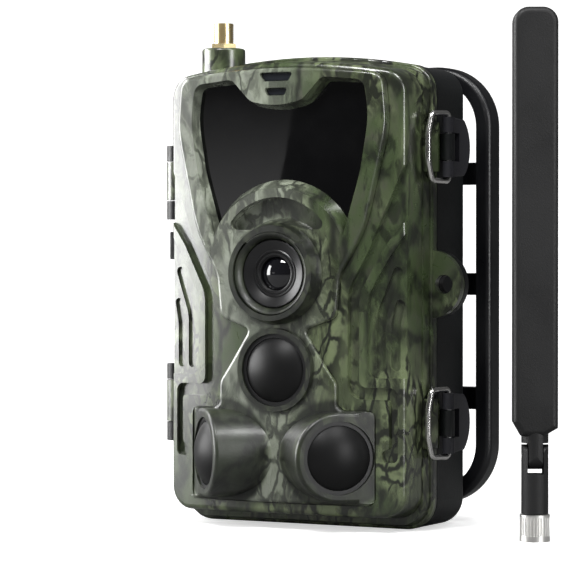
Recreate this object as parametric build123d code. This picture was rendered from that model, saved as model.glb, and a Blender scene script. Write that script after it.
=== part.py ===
"""Trail camera: two case halves on a hinge, two draw latches, strap bracket, electronics and aerial.

Millimetres. The model is drawn in a case frame: X across (hinge at -X, latches at +X), Y to the
rear with the seam of the case at Y = 0, Z up from the foot. On export everything is shifted so that
the origin is the mouth of the tripod socket.
"""
from build123d import *
import math
import os

# ---------------------------------------------------------------- driving dimensions
CASE_HALF_W = 44.0          # half width of the seam flange
CASE_H = 148.0              # foot to top of the arched flange
CASE_ARCH_R = 200.0         # radius of the arched top
CASE_CORNER_R = 9.0         # corners of the flange outline
WALL = 2.2                  # moulded wall

FACE_Y = -23.0              # front of the crowned face, on the centre line
FACE_CROWN_R = 150.0        # crown about a vertical axis
FACE_INSET = 1.65           # side wall inset from the flange, measured at the flange
SIDE_DRAFT = 4.4            # degrees
FACE_EDGE_R = 1.6
LIP_T = 3.2                 # thickness of the front flange lip
LIP_SLOPE_D = 3.4           # sloped band in front of the lip
LIP_SLOPE = 12.0            # degrees
LIP_EDGE_R = 0.7
SEAM_GAP = 0.2              # each half stands this far from the seam plane

REAR_D = 22.5               # depth of the rear housing
REAR_HALF_W = CASE_HALF_W - 0.4
REAR_EDGE_R = 3.0
GASKET_INSET = 0.95
GASKET_W = 1.3
GASKET_D = 1.2

MASK_Y = -24.0              # front of the mask on the centre line
MASK_CROWN_R = 300.0
MASK_BACK_Y = -17.3
MASK_TOP_Z = CASE_H - 4.4
MASK_HALF_W = 36.6
MASK_LEDGE = 2.5
MASK_EDGE_R = 1.2
FIT = 0.12                  # clearance round dropped-in pieces

WINDOW_HALF_W = 31.2        # opening of the infrared window at the mask face
WINDOW_TOP_Z = MASK_TOP_Z - 3.8
WINDOW_DRAFT = 14.0
PANEL_Y = -18.7             # front of the glossy panel
PANEL_T = 1.4

LENS_Z = 79.6
LENS_RIM_Y = -28.0
LENS_RIM_R = 14.6
LENS_FOOT_R = LENS_RIM_R + 2.6
LENS_BORE_R = LENS_RIM_R - 1.6
LENS_DOME_R = 5.2
VISOR_Z = 82.2
VISOR_R = 22.2
VISOR_DRAFT = 28.0
VISOR_LIP = 1.1
SCOOP_FLOOR_Y = -19.2
SCOOP_CORNER_R = 1.8
INDICATOR_SLOT = (1.6, 2.8, 6.2, 4.4)    # gap below the top, height, half widths
MICROPHONE_SLOT = (6.4, 2.4, 4.2, 3.2)
BROW_SLOT_D = 2.5
BROW_SLOT_R = 0.7
BROW_SLOT_FIT = 0.3

PIR_RIM_R = 13.2            # bezel of a motion sensor window
PIR_RECESS_R = PIR_RIM_R - 1.9
PIR_DOME_R = PIR_RECESS_R - 1.4
PIR_BORE_R = PIR_DOME_R - 1.3
PIR_RECESS_D = 2.4
PIR_MID_Z = 49.7
PIR_MID_Y = -25.2
PIR_LOW_Z = 23.3
PIR_LOW_X = 24.0
PIR_LOW_Y = -27.2
PIR_TURN = 45.0             # the low windows look this far outward
PIR_PLATE_HALF_H = 13.9
PIR_PLATE_OUT = 11.3

CHANNEL_D = 1.8             # depth of the decorative channels
LOUVRE_D = 1.3
SLOT_D = 2.2
SLOT_W = 2.9

HINGE_R = 3.5
HINGE_X = -(CASE_HALF_W + HINGE_R + 2.0)
HINGE_PIN_R = 1.25
HINGE_CLEAR = 0.05
HINGE_SPANS = [(97.0, 103.0, 116.0, 121.0), (25.0, 31.0, 45.0, 50.0)]
KNUCKLE_GAP = 0.3
BUMPER_Z = (84.0, 93.0)

LATCH_Z = [118.7, 33.3]
LATCH_NAMES = ["upper", "lower"]
LEVER_X = CASE_HALF_W + 4.4  # lever pin
LEVER_Y = -0.9
LEVER_HUB_R = 1.95
LEVER_HALF_H = 9.3
LEVER_LEN = 13.6
LEVER_T = 1.7
LEVER_SLOT_HALF = 4.4
LEVER_SLOT_END = 4.3
LEVER_PIN_R = 0.9
BAIL_PIVOT = (LEVER_X - 1.0, 0.9)
BAIL_WIRE_R = 0.95
BAIL_HALF_H = 10.5
BAIL_FRONT = (LEVER_X - 3.7, -7.8)
CATCH_HALF_H = 7.6
CATCH_CREST_X = LEVER_X - 2.4
CATCH_GAP = 0.85            # slack between a closed bail and its catch

TAB_R = 10.5
TAB_X = CASE_HALF_W - 1.0
TAB_Z = 76.3
TAB_T = 2.6
TAB_HOLE_X = TAB_X + 4.6
TAB_HOLE_R = 2.95

RING_HALF_W = CASE_HALF_W + 6.4
RING_Z = (5.5, CASE_H - 2.3)
RING_Y = (REAR_D + 3.5, REAR_D + 12.0)
RING_CORNER_R = 19.5
RING_BAR = 5.0
RING_DRAFT = 13.0
RUNG_Z = [39.6, 76.1, 111.4]
RUNG_H = 7.0
RUNG_Y = (REAR_D + 5.5, REAR_D + 10.5)
SPINE_HALF_W = 15.0
BRACKET_SCREW_X = 24.0
STANDOFF_R = 4.2

TRIPOD_Y = 11.0             # tripod socket behind the seam
TRIPOD_R = 2.55             # 1/4 in - 20 thread, minor radius
TRIPOD_L = 8.0
TRIPOD_BUSH_R = TRIPOD_R + 1.85

JACK_X = 24.0               # external power jack in the foot
JACK_R = 4.6
PLUG_T = 1.6

CELL_R = 7.25               # AA cell
CELL_L = 50.0
CELL_PITCH = 2 * CELL_R + 0.5
TRAY_BACK_Y = REAR_D - 3.9
CELL_Y = TRAY_BACK_Y - 8.2
CONTACT_HALF = CELL_R - 2.25
TRAY_Z0 = 17.0
TRAY_WALL = 1.4

BOSS_X = -27.0              # aerial connector
BOSS_Y = -9.0
BOSS_R = 6.9
BOSS_TOP_Z = CASE_H + 3.2
THREAD_R = 3.175            # 1/4 in - 36 connector thread
THREAD_L = 8.0

AERIAL_X = 83.4
AERIAL_Y = -15.3
AERIAL_TURN = 28.5
AERIAL_H = 159.0
NUT_R = THREAD_R + 1.325
NUT_H = 8.0
NUT_BORE_R = THREAD_R + 0.055
NUT_BORE_D = 4.0
COLLAR_FLANGE_R = NUT_BORE_R - 0.33
COLLAR_STEM_R = COLLAR_FLANGE_R - 0.6
COLLAR_R = 4.05
COLLAR_TOP_Z = 19.3
KNUCKLE_Z = 25.5
NECK_TOP_Z = 34.0
PADDLE_HALF_W = 6.65
PADDLE_T = 8.4
PADDLE_Z0 = 31.5

COVER_Y = (-3.4, -1.4)      # inner cover of the front half
DISPLAY_Z = 101.0
DISPLAY_W = 43.0
DISPLAY_H = 33.0
KEY_R = 3.1
KEY_PAD_Z = 64.0
KEY_PITCH = 11.0
SWITCH_Z = 40.0

BOARD_Y = (-8.4, -6.8)


# ---------------------------------------------------------------- helpers
def slab(sketch, y_front, y_back, taper=0.0):
    """Extrude an X-Z outline from y_back forward to y_front; a positive taper narrows it."""
    return extrude(Plane.XZ.offset(-y_back) * sketch, y_back - y_front, taper=taper)


def outline(corners):
    """Closed face from corners given as (x, z, radius)."""
    points = [(x, z) for x, z, _ in corners]
    radii = [r for _, _, r in corners]
    return make_face(FilletPolyline(*points, radius=radii, close=True))


def both_sides(corners):
    """Right-hand corners, top to bottom, joined with their mirror image."""
    left = [(-x, z, r) for x, z, r in reversed(corners) if x > 0]
    return outline(corners + left)


def arched(half_w, z_low, z_top, r_top, r_low):
    """Upright panel with an arched top and rounded corners."""
    side_z = z_top - (CASE_ARCH_R - math.sqrt(CASE_ARCH_R ** 2 - half_w ** 2))
    edges = Curve() + [
        ThreePointArc((-half_w, side_z), (0, z_top), (half_w, side_z)),
        Polyline((half_w, side_z), (half_w, z_low), (-half_w, z_low), (-half_w, side_z)),
    ]
    face = make_face(edges)
    corners = face.vertices().sort_by(Axis.Y)
    face = fillet(corners[:2], r_low)
    corners = face.vertices().filter_by(lambda v: abs(abs(v.X) - half_w) < 1e-4 and v.Y > z_top / 2)
    return fillet(corners, r_top)


def rod_y(radius, y_front, y_back, x, z, radius_back=None):
    """Round bar, or cone, along Y."""
    length = y_back - y_front
    place = Pos(x, (y_front + y_back) / 2, z) * Rot(90, 0, 0)
    if radius_back is None:
        return place * Cylinder(radius, length)
    return place * Cone(radius_back, radius, length)


def rod_z(radius, z_low, z_high, x, y):
    return Pos(x, y, (z_low + z_high) / 2) * Cylinder(radius, z_high - z_low)


def block(x, y, z):
    """Box between two corners: each argument is a (low, high) pair."""
    size = [high - low for low, high in (x, y, z)]
    middle = [(low + high) / 2 for low, high in (x, y, z)]
    return Pos(*middle) * Box(*size)


def crown(radius, y_front):
    """Tall cylinder whose nearest line lies at y_front."""
    return Pos(0, y_front + radius, CASE_H / 2) * Cylinder(radius, 2 * CASE_H)


def mirrored(shape):
    return mirror(shape, about=Plane.YZ)


def low_plane(side):
    """Plane of a low motion window: local X runs outward along the plate, local Z looks out."""
    turn = math.radians(PIR_TURN)
    normal = (side * math.sin(turn), -math.cos(turn), 0)
    along = (math.cos(turn), side * math.sin(turn), 0)
    return Plane(origin=(side * PIR_LOW_X, PIR_LOW_Y, PIR_LOW_Z), x_dir=along, z_dir=normal)


def pir_planes():
    """The three motion windows: centre, left and right."""
    middle = Plane(origin=(0, PIR_MID_Y, PIR_MID_Z), x_dir=(1, 0, 0), z_dir=(0, -1, 0))
    return {"centre": middle, "left": low_plane(-1), "right": low_plane(1)}


# ---------------------------------------------------------------- outlines of the face
def mask_outline():
    return both_sides([
        (0, MASK_TOP_Z + 1.6, 250),
        (MASK_HALF_W - 1.0, MASK_TOP_Z - 2.6, 4.5),
        (MASK_HALF_W + 0.4, 125, 30),
        (29.6, 93, 40),
        (21.6, 79, 12),
        (20.4, 66.0, 3.5),
        (9.6, 62.2, 1.5),
        (16.9, 51, 8),
        (20.6, 45.8, 4),
        (20.6, 39, 1.4),
        (22.6, 37.5, 1.4),
        (32.4, 37.5, 2.6),
        (32.4, 8.4, 2.6),
    ])


def window_outline():
    """Infrared window without the visor circle."""
    return both_sides([
        (0, WINDOW_TOP_Z - 9.0, 28),
        (9.4, WINDOW_TOP_Z - 6.9, 6),
        (16.0, WINDOW_TOP_Z + 0.1, 3),
        (WINDOW_HALF_W - 1.4, WINDOW_TOP_Z - 0.9, 3.5),
        (WINDOW_HALF_W + 0.2, WINDOW_TOP_Z - 12, 30),
        (28.6, WINDOW_TOP_Z - 29, 60),
        (22.6, 90.6, 3.2),
    ])


def channel_outline():
    return outline([
        (44, 120, 1),
        (30.0, 86.0, 20),
        (23.7, 74.5, 16),
        (23.7, 41.0, 4.6),
        (36.6, 41.0, 1.4),
        (36.6, 26.0, 1.2),
        (34.4, 25.2, 1.2),
        (34.4, 21.8, 1.2),
        (39.2, 21.8, 1.6),
        (39.2, 44.7, 2.6),
        (27.3, 44.7, 2.4),
        (27.3, 73.5, 12),
        (36.0, 89.0, 20),
        (44, 99, 1),
    ])


def louvre_outline():
    return outline([
        (44, 96, 1),
        (36.2, 84.0, 8),
        (29.9, 72.5, 14),
        (29.9, 47.6, 3),
        (44, 47.6, 1),
    ])


def slot_shape(points, radius):
    """Round-ended slot of SLOT_W along a bent centre line, on the X-Z plane."""
    line = FilletPolyline(*points, radius=radius)
    return make_face(offset(line, SLOT_W / 2))


# ---------------------------------------------------------------- front half
def front_blank():
    """Outside of the front half, with its flange lip and crowned face."""
    side = arched(CASE_HALF_W - FACE_INSET, 3.5, CASE_H - 1.45, 8.6, 8.6)
    body = slab(side, FACE_Y - 4, -LIP_T, SIDE_DRAFT) & crown(FACE_CROWN_R, FACE_Y)
    body = fillet(body.faces().sort_by(Axis.Y)[0].edges(), FACE_EDGE_R)
    inset = LIP_EDGE_R + 0.2
    ledge = arched(CASE_HALF_W - inset, inset, CASE_H - inset, 8.4, 8.4)
    slope = slab(ledge, -LIP_T - LIP_SLOPE_D, -LIP_T, LIP_SLOPE)
    lip = slab(arched(CASE_HALF_W, 0, CASE_H, CASE_CORNER_R, CASE_CORNER_R), -LIP_T, -SEAM_GAP)
    lip = fillet(lip.faces().sort_by(Axis.Y)[0].edges(), LIP_EDGE_R)
    return body + slope + lip


def latch_catch(z):
    """Hook on the side of the front half that a bail pulls on."""
    back = BAIL_FRONT[1] + BAIL_WIRE_R + CATCH_GAP
    root_x = CASE_HALF_W - 4
    profile = make_face(Polyline((root_x, back), (CATCH_CREST_X - 1.8, back), (CATCH_CREST_X, -3.5),
                                 (CATCH_CREST_X, -2.1), (root_x, -2.1), close=True))
    lug = extrude(Plane.XY.offset(z - CATCH_HALF_H) * profile, 2 * CATCH_HALF_H)
    return fillet(lug.edges().filter_by(Axis.Z).sort_by(Axis.X)[-2:], 0.5)


def hinge_knuckle(z_low, z_high, wall_y, bore_r):
    """Barrel on the hinge line with an arm that reaches the case wall."""
    height = z_high - z_low
    arm_y = (min(0.0, wall_y), max(0.0, wall_y))
    arm = block((HINGE_X, -CASE_HALF_W + 1.5), arm_y, (z_low, z_high))
    barrel = Pos(HINGE_X, 0, z_low + height / 2) * Cylinder(HINGE_R, height)
    keep = block((-CASE_HALF_W - 0.35, 0), (-HINGE_R * 2, HINGE_R * 2), (z_low, z_high))
    shape = barrel + arm
    other_side = keep & block((-99, 99), (0, 99) if wall_y < 0 else (-99, 0), (z_low, z_high))
    shape = shape - other_side
    return shape - rod_z(bore_r, z_low, z_high, HINGE_X, 0)


def front_shell():
    shell = front_blank()
    hollow = arched(CASE_HALF_W - FACE_INSET - WALL, 3.5 + WALL, CASE_H - 1.45 - WALL, 6.5, 6.5)
    shell -= slab(hollow, -15.0, 0, SIDE_DRAFT)
    shell -= slab(offset(mask_outline(), FIT), -40, MASK_BACK_Y)
    shell -= slab(offset(mask_outline(), -MASK_LEDGE, kind=Kind.INTERSECTION), MASK_BACK_Y - 1, -14)
    floor = crown(FACE_CROWN_R - CHANNEL_D, FACE_Y + CHANNEL_D)
    groove = slab(channel_outline(), -34, -14) - floor
    louvre = slab(louvre_outline(), -34, -14) - crown(FACE_CROWN_R - LOUVRE_D, FACE_Y + LOUVRE_D)
    deep = crown(FACE_CROWN_R - SLOT_D, FACE_Y + SLOT_D)
    outer = slot_shape([(38.0, 51.2), (38.0, 64.0), (39.3, 70.2)], 12)
    inner = slot_shape([(33.6, 51.2), (33.6, 67.0), (38.7, 80.2)], 14)
    slots = (slab(outer, -34, -14) - deep) + (slab(inner, -34, -14) - deep)
    for cut in (groove, louvre, slots):
        shell -= cut
        shell -= mirrored(cut)
    for z in LATCH_Z:
        scallop = Pos(CASE_HALF_W + 1.2, 3.4, z) * Rot(0, 90, 0) * Cylinder(12.4, 6.4)
        scallop &= block((0, 99), (-99, -LIP_T - 0.2), (0, CASE_H))
        shell -= scallop
        shell += latch_catch(z)
    tab = rod_y(TAB_R, -SEAM_GAP - TAB_T, -SEAM_GAP, TAB_X, TAB_Z)
    shell += tab - block((-99, CASE_HALF_W - 2), (-99, 99), (0, CASE_H))
    shell -= rod_y(TAB_HOLE_R, -9, 0, TAB_HOLE_X, TAB_Z)
    for _, low, high, _ in HINGE_SPANS:
        shell += hinge_knuckle(low + KNUCKLE_GAP, high - KNUCKLE_GAP, -LIP_T, HINGE_PIN_R + HINGE_CLEAR)
    shell -= rod_z(BOSS_R + FIT / 2, CASE_H - 8, CASE_H + 1, BOSS_X, BOSS_Y)
    return shell


def low_plate(side, out):
    """Face of a low window: round toward the middle, square out to the given width."""
    half = PIR_PLATE_HALF_H
    inner = Circle(half) & Pos(-side * half, 0) * Rectangle(2 * half, 2 * half)
    return inner + Pos(side * out / 2, 0) * Rectangle(out, 2 * half)


def snout(side):
    """Solid block behind one low motion window."""
    plane = low_plane(side)
    body = extrude(plane * low_plate(side, PIR_PLATE_OUT), -26)
    body = fillet(body.faces().sort_by(Axis(plane.origin, plane.z_dir))[-1].edges(), 1.3)
    return body & block((min(0, side * 60), max(0, side * 60)), (-60, MASK_BACK_Y), (0, 60))


def mask_blank():
    body = slab(mask_outline(), -40, MASK_BACK_Y) & crown(MASK_CROWN_R, MASK_Y)
    return fillet(body.faces().sort_by(Axis.Y)[0].edges(), MASK_EDGE_R)


def lowest_corners(shape):
    """The two edges that run to the rear at the lowest corners of a cutting shape."""
    rearward = [edge for edge in shape.edges() if edge.bounding_box().size.Y > 3]
    lowest = sorted(rearward, key=lambda edge: edge.center().Z)
    return lowest[:2]


def window_cut():
    visor = rod_y(VISOR_R, MASK_Y - 3, MASK_BACK_Y + 1, 0, VISOR_Z,
                  VISOR_R + math.tan(math.radians(VISOR_DRAFT)) * (MASK_BACK_Y + 1 - MASK_Y + 3))
    opening = offset(window_outline(), -0.9)
    return slab(opening, -32, PANEL_Y, -WINDOW_DRAFT) - visor


def brow_slot(size, inset=0.0):
    """Tapered slot in the brow; size is its gap below the mask's top, its height and two half widths."""
    gap, height, top_half, foot_half = size
    top = MASK_TOP_Z - gap - inset
    foot = MASK_TOP_Z - gap - height + inset
    top_half, foot_half = top_half - inset, foot_half - inset
    return outline([(-top_half, top, BROW_SLOT_R), (top_half, top, BROW_SLOT_R),
                    (foot_half, foot, BROW_SLOT_R), (-foot_half, foot, BROW_SLOT_R)])


def face_mask():
    mask = mask_blank()
    mask += rod_y(LENS_RIM_R, LENS_RIM_Y, MASK_BACK_Y, 0, LENS_Z, LENS_FOOT_R + 0.8)
    mask += rod_y(PIR_RIM_R - 0.3, PIR_MID_Y, MASK_BACK_Y, 0, PIR_MID_Z, PIR_RIM_R + 0.6)
    for side in (-1, 1):
        mask -= extrude(low_plane(side) * low_plate(side, PIR_PLATE_OUT + 6), 16)
        mask += snout(side)
    mask -= window_cut()
    panel = offset(window_outline(), 0.5)
    mask -= slab(panel, PANEL_Y, MASK_BACK_Y)
    scoop = rod_y(VISOR_R - VISOR_LIP, -34, SCOOP_FLOOR_Y, 0, VISOR_Z)
    scoop -= rod_y(LENS_RIM_R, LENS_RIM_Y, MASK_BACK_Y, 0, LENS_Z, LENS_FOOT_R + 0.8)
    scoop -= block((-40, 40), (-40, 0), (0, VISOR_Z + 11))
    mask -= fillet(lowest_corners(scoop), SCOOP_CORNER_R)
    mask -= rod_y(LENS_BORE_R, -40, 0, 0, LENS_Z)
    for plane in pir_planes().values():
        mask -= extrude(plane * Circle(PIR_RECESS_R), -PIR_RECESS_D)
        mask -= extrude(plane * Circle(PIR_BORE_R), -PIR_RECESS_D - 7)
    for size in (INDICATOR_SLOT, MICROPHONE_SLOT):
        mask -= slab(brow_slot(size), -34, MASK_Y + BROW_SLOT_D)
    return mask


def ir_window():
    panel = offset(window_outline(), 0.4)
    return slab(panel, PANEL_Y + 0.02, PANEL_Y + PANEL_T) - rod_y(VISOR_R - 1, -20, 0, 0, VISOR_Z)


def led_spots():
    """Grid of emitters inside the window outline."""
    spots = []
    for row in range(7):
        z = 133 - 6.2 * row
        half = 26.5 - 1.5 * row
        for column in range(9):
            x = (column - 4) * half / 4
            clear_of_tongue = abs(x) > 14 or z < 126
            clear_of_visor = math.hypot(x, z - VISOR_Z) > VISOR_R + 4
            if clear_of_tongue and clear_of_visor:
                spots.append((x, z))
    return spots


def ir_led_board():
    top = WINDOW_TOP_Z - 3.0
    sheet = slab(both_sides([
        (0, top - 9.5, 20),
        (10.5, top - 6.6, 5),
        (16.6, top, 2.5),
        (WINDOW_HALF_W - 3.2, top - 0.6, 2.5),
        (WINDOW_HALF_W - 2.8, top - 11, 20),
        (WINDOW_HALF_W - 5.2, top - 27, 40),
        (20.6, 93.5, 3),
    ]), -13.4, -11.8)
    return sheet - rod_y(VISOR_R - 2, -20, 0, 0, VISOR_Z)


def ir_leds():
    bodies = []
    for x, z in led_spots():
        bodies.append(rod_y(1.9, -16.6, -13.4, x, z) + rod_y(2.2, -14.4, -13.4, x, z))
    return Compound(children=bodies)


def lens_parts():
    """Black funnel, lens barrel, front element and the sensor board behind it."""
    bezel = rod_y(LENS_BORE_R - FIT, LENS_RIM_Y + 0.6, -19.0, 0, LENS_Z)
    bezel -= rod_y(11.5, LENS_RIM_Y, LENS_RIM_Y + 2.4, 0, LENS_Z, 10.6)
    bezel -= rod_y(10.2, LENS_RIM_Y + 2.3, LENS_RIM_Y + 4.0, 0, LENS_Z, 8.6)
    bezel -= rod_y(7.6, -26, -18, 0, LENS_Z)
    barrel = rod_y(7.4, -23.4, -14.0, 0, LENS_Z) + rod_y(9.0, -14.0, -9.6, 0, LENS_Z)
    barrel -= rod_y(6.2, -24, -21.6, 0, LENS_Z, LENS_DOME_R)
    dome = Pos(0, -24.0 + 7.4, LENS_Z) * Sphere(7.4)
    dome &= rod_y(LENS_DOME_R - 0.05, -25, -20.6, 0, LENS_Z)
    barrel -= rod_y(LENS_DOME_R, -22, -20.6, 0, LENS_Z)
    board = block((-13, 13), (-9.6, -8.5), (LENS_Z - 11, LENS_Z + 11))
    return {"lens_bezel": bezel, "lens_barrel": barrel, "lens_glass": dome, "image_sensor_board": board}


def pir_window(plane):
    """Domed window with a locating flange that seats on the recess floor."""
    sphere_r = 16.0
    depth = math.sqrt(sphere_r ** 2 - PIR_DOME_R ** 2)
    dome = plane * (Pos(0, 0, -0.9 - depth) * Sphere(sphere_r))
    dome &= extrude(plane * Circle(PIR_DOME_R), -PIR_RECESS_D + 0.6) + extrude(plane * Circle(PIR_DOME_R), 6)
    flange = extrude(plane.offset(-PIR_RECESS_D) * Circle(PIR_RECESS_R - 0.9), 0.8)
    return dome + flange


def pir_ring(plane):
    outer = Circle(PIR_RECESS_R - 0.03) - Circle(PIR_DOME_R + 0.12)
    ring = extrude(plane.offset(-PIR_RECESS_D + 0.8) * outer, 0.9)
    return ring


def pir_sensor(plane):
    can = extrude(plane.offset(-PIR_RECESS_D - 6.8) * Circle(4.6), 4.1)
    rim = extrude(plane.offset(-PIR_RECESS_D - 6.8) * Circle(5.2), 0.6)
    return can + rim


def aerial_socket():
    """Moulded boss, brass connector and its insulator on top of the front half."""
    boss = rod_z(BOSS_R, CASE_H - 5, BOSS_TOP_Z, BOSS_X, BOSS_Y)
    boss = fillet(boss.edges().sort_by(Axis.Z)[-1], 0.9)
    boss -= rod_z(THREAD_R + 0.03, CASE_H - 6, BOSS_TOP_Z + 1, BOSS_X, BOSS_Y)
    top = BOSS_TOP_Z + THREAD_L
    stem = rod_z(THREAD_R, CASE_H - 6, top, BOSS_X, BOSS_Y)
    for turn in range(9):
        z = BOSS_TOP_Z + 2.0 + 0.7 * turn
        groove = rod_z(THREAD_R + 1, z, z + 0.3, BOSS_X, BOSS_Y)
        stem -= groove - rod_z(THREAD_R - 0.32, z, z + 0.3, BOSS_X, BOSS_Y)
    stem += Pos(BOSS_X, BOSS_Y, BOSS_TOP_Z + 0.75) * extrude(RegularPolygon(4.4, 6), 1.5 / 2, both=True)
    stem -= rod_z(2.1, top - 5, top + 1, BOSS_X, BOSS_Y)
    stem -= rod_z(1.0, CASE_H - 7, top, BOSS_X, BOSS_Y)
    core = rod_z(2.06, top - 5, top - 1.6, BOSS_X, BOSS_Y) + rod_z(0.96, CASE_H - 6, top - 5, BOSS_X, BOSS_Y)
    core -= rod_z(0.45, top - 4, top, BOSS_X, BOSS_Y)
    return boss, stem, core


def front_half():
    nodes = {
        "front_shell": front_shell(),
        "face_mask": face_mask(),
        "ir_window": ir_window(),
        "ir_led_board": ir_led_board(),
        "ir_leds": ir_leds(),
    }
    nodes.update(lens_parts())
    planes = pir_planes()
    for name, plane in planes.items():
        nodes["pir_window_" + name] = pir_window(plane)
    nodes["pir_rings"] = Compound(children=[pir_ring(p) for p in planes.values()])
    nodes["pir_sensors"] = Compound(children=[pir_sensor(p) for p in planes.values()])
    boss, stem, core = aerial_socket()
    nodes["aerial_boss"] = boss
    nodes["aerial_connector"] = stem
    nodes["connector_core"] = core
    back = MASK_Y + BROW_SLOT_D
    nodes["indicator_window"] = slab(brow_slot(INDICATOR_SLOT, BROW_SLOT_FIT), back - 1.5, back)
    nodes["microphone"] = slab(brow_slot(MICROPHONE_SLOT, BROW_SLOT_FIT), back - 1.3, back)
    return nodes


# ---------------------------------------------------------------- inside of the front half
def key_spots():
    spots = {"key_ok": (0, KEY_PAD_Z)}
    for name, dx, dz in (("key_up", 0, 1), ("key_down", 0, -1), ("key_left", -1, 0), ("key_right", 1, 0)):
        spots[name] = (dx * KEY_PITCH, KEY_PAD_Z + dz * KEY_PITCH)
    spots["key_menu"] = (-2.2 * KEY_PITCH, KEY_PAD_Z - KEY_PITCH)
    spots["key_shot"] = (2.2 * KEY_PITCH, KEY_PAD_Z - KEY_PITCH)
    return spots


def cover_screw_spots():
    return [(-35, 12), (35, 12), (-35, 132), (35, 132)]


def control_panel():
    """Inner cover with the display and keys, the main board and its cards."""
    half_w = CASE_HALF_W - FACE_INSET - WALL - 0.5
    cover = slab(arched(half_w - 0.3, 3.5 + WALL + 0.8, CASE_H - 1.45 - WALL - 0.8, 6, 6), *COVER_Y)
    opening = Pos(0, DISPLAY_Z) * RectangleRounded(DISPLAY_W - 3, DISPLAY_H - 3, 1.5)
    cover -= slab(opening, -5, 0)
    nodes = {}
    for name, (x, z) in key_spots().items():
        cover -= rod_y(KEY_R + 0.3, -5, 0, x, z)
        cap = rod_y(KEY_R, COVER_Y[0] + 0.2, COVER_Y[1] + 0.6, x, z)
        cap = fillet(cap.edges().sort_by(Axis.Y)[-1], 0.5)
        nodes[name] = cap + rod_y(KEY_R + 0.9, COVER_Y[0] - 1.2, COVER_Y[0] - 0.3, x, z) \
            + rod_y(KEY_R, COVER_Y[0] - 0.4, COVER_Y[0] + 0.3, x, z)
    cover -= block((-7, 7), (-5, 0), (SWITCH_Z - 2.2, SWITCH_Z + 2.2))
    switch = block((-2.4, 2.4), (COVER_Y[0] - 2.0, COVER_Y[1] + 0.8), (SWITCH_Z - 1.8, SWITCH_Z + 1.8))
    nodes["power_switch"] = switch
    for x, z in cover_screw_spots():
        cover -= rod_y(1.3, -5, 0, x, z)
    nodes["inner_cover"] = cover
    screws = []
    for x, z in cover_screw_spots():
        screws.append(rod_y(2.4, COVER_Y[1], COVER_Y[1] + 0.9, x, z) + rod_y(1.25, -10.5, COVER_Y[1], x, z)
                      - rod_y(0.8, COVER_Y[1] + 0.3, COVER_Y[1] + 2, x, z))
    nodes["cover_screws"] = Compound(children=screws)
    nodes["display_panel"] = block((-DISPLAY_W / 2, DISPLAY_W / 2), (-5.6, COVER_Y[0]),
                                   (DISPLAY_Z - DISPLAY_H / 2, DISPLAY_Z + DISPLAY_H / 2))
    board = block((-33, 33), BOARD_Y, (16, 128))
    nodes["main_board"] = board
    chips = [block((-14, 6), (BOARD_Y[0] - 1.6, BOARD_Y[0]), (112, 126)),
             block((-20, 12), (BOARD_Y[1], BOARD_Y[1] + 1.0), (20, 32)),
             block((14, 28), (BOARD_Y[0] - 2.4, BOARD_Y[0]), (100, 116))]
    nodes["board_chips"] = Compound(children=chips)
    nodes["card_slot"] = block((16, 31), (BOARD_Y[1], BOARD_Y[1] + 1.6), (18, 34)) \
        - block((17, 30), (BOARD_Y[1] + 0.4, BOARD_Y[1] + 1.3), (17, 33))
    nodes["memory_card"] = block((17.6, 29.4), (BOARD_Y[1] + 0.45, BOARD_Y[1] + 1.15), (14.6, 32.6))
    nodes["speaker"] = rod_y(9, -13.6, BOARD_Y[0] - 0.1, 24, 62)
    nodes["usb_port"] = block((-30, -22), (BOARD_Y[1], BOARD_Y[1] + 2.8), (16.5, 22)) \
        - block((-29, -23), (BOARD_Y[1] + 0.5, BOARD_Y[1] + 2.3), (16, 20.5))
    return nodes


# ---------------------------------------------------------------- rear half
def bracket_screw_spots():
    return [(side * BRACKET_SCREW_X, z) for z in (RUNG_Z[0], RUNG_Z[-1]) for side in (-1, 1)]


def rear_housing():
    body = slab(arched(REAR_HALF_W, 0, CASE_H - 0.4, 8.8, 8.8), SEAM_GAP, REAR_D)
    body = fillet(body.faces().sort_by(Axis.Y)[-1].edges(), REAR_EDGE_R)
    lip = slab(arched(CASE_HALF_W, 0, CASE_H, CASE_CORNER_R, CASE_CORNER_R), SEAM_GAP, SEAM_GAP + 1.6)
    body += lip
    hollow = arched(REAR_HALF_W - WALL - 1.4, WALL + 1.0, CASE_H - 0.4 - WALL - 1.4, 6, 6)
    body -= slab(hollow, -1, REAR_D - WALL)
    body += rod_z(TRIPOD_BUSH_R + 2.2, 0.5, TRIPOD_L + 1.8, 0, TRIPOD_Y)
    body -= rod_z(TRIPOD_BUSH_R, -1, TRIPOD_L, 0, TRIPOD_Y)
    for x, z in bracket_screw_spots():
        body += rod_y(3.4, REAR_D - WALL - 1.6, REAR_D - 0.5, x, z)
        body -= rod_y(1.25, 0, REAR_D + 1, x, z)
    for z in LATCH_Z:
        body += latch_lug(z)
        body -= rod_z(LEVER_PIN_R, z - 12, z + 12, LEVER_X, LEVER_Y)
    tab = rod_y(TAB_R, SEAM_GAP, SEAM_GAP + TAB_T, TAB_X, TAB_Z)
    body += tab - block((-99, REAR_HALF_W - 2), (-99, 99), (0, CASE_H))
    body -= rod_y(TAB_HOLE_R, 0, 5, TAB_HOLE_X, TAB_Z)
    for low, inner_low, inner_high, high in HINGE_SPANS:
        for z_low, z_high in ((low, inner_low), (inner_high, high)):
            body += hinge_knuckle(z_low, z_high, 4.0, HINGE_PIN_R)
    bumper = block((HINGE_X - HINGE_R, -REAR_HALF_W + 1), (SEAM_GAP, 3.8), BUMPER_Z)
    body += fillet(bumper.edges().sort_by(Axis.X)[:4], 0.9)
    body -= rod_z(JACK_R + FIT, -1, 6, JACK_X, TRIPOD_Y)
    body -= slab(gasket_ring(0.05), -9, SEAM_GAP + GASKET_D)
    return body


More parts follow.
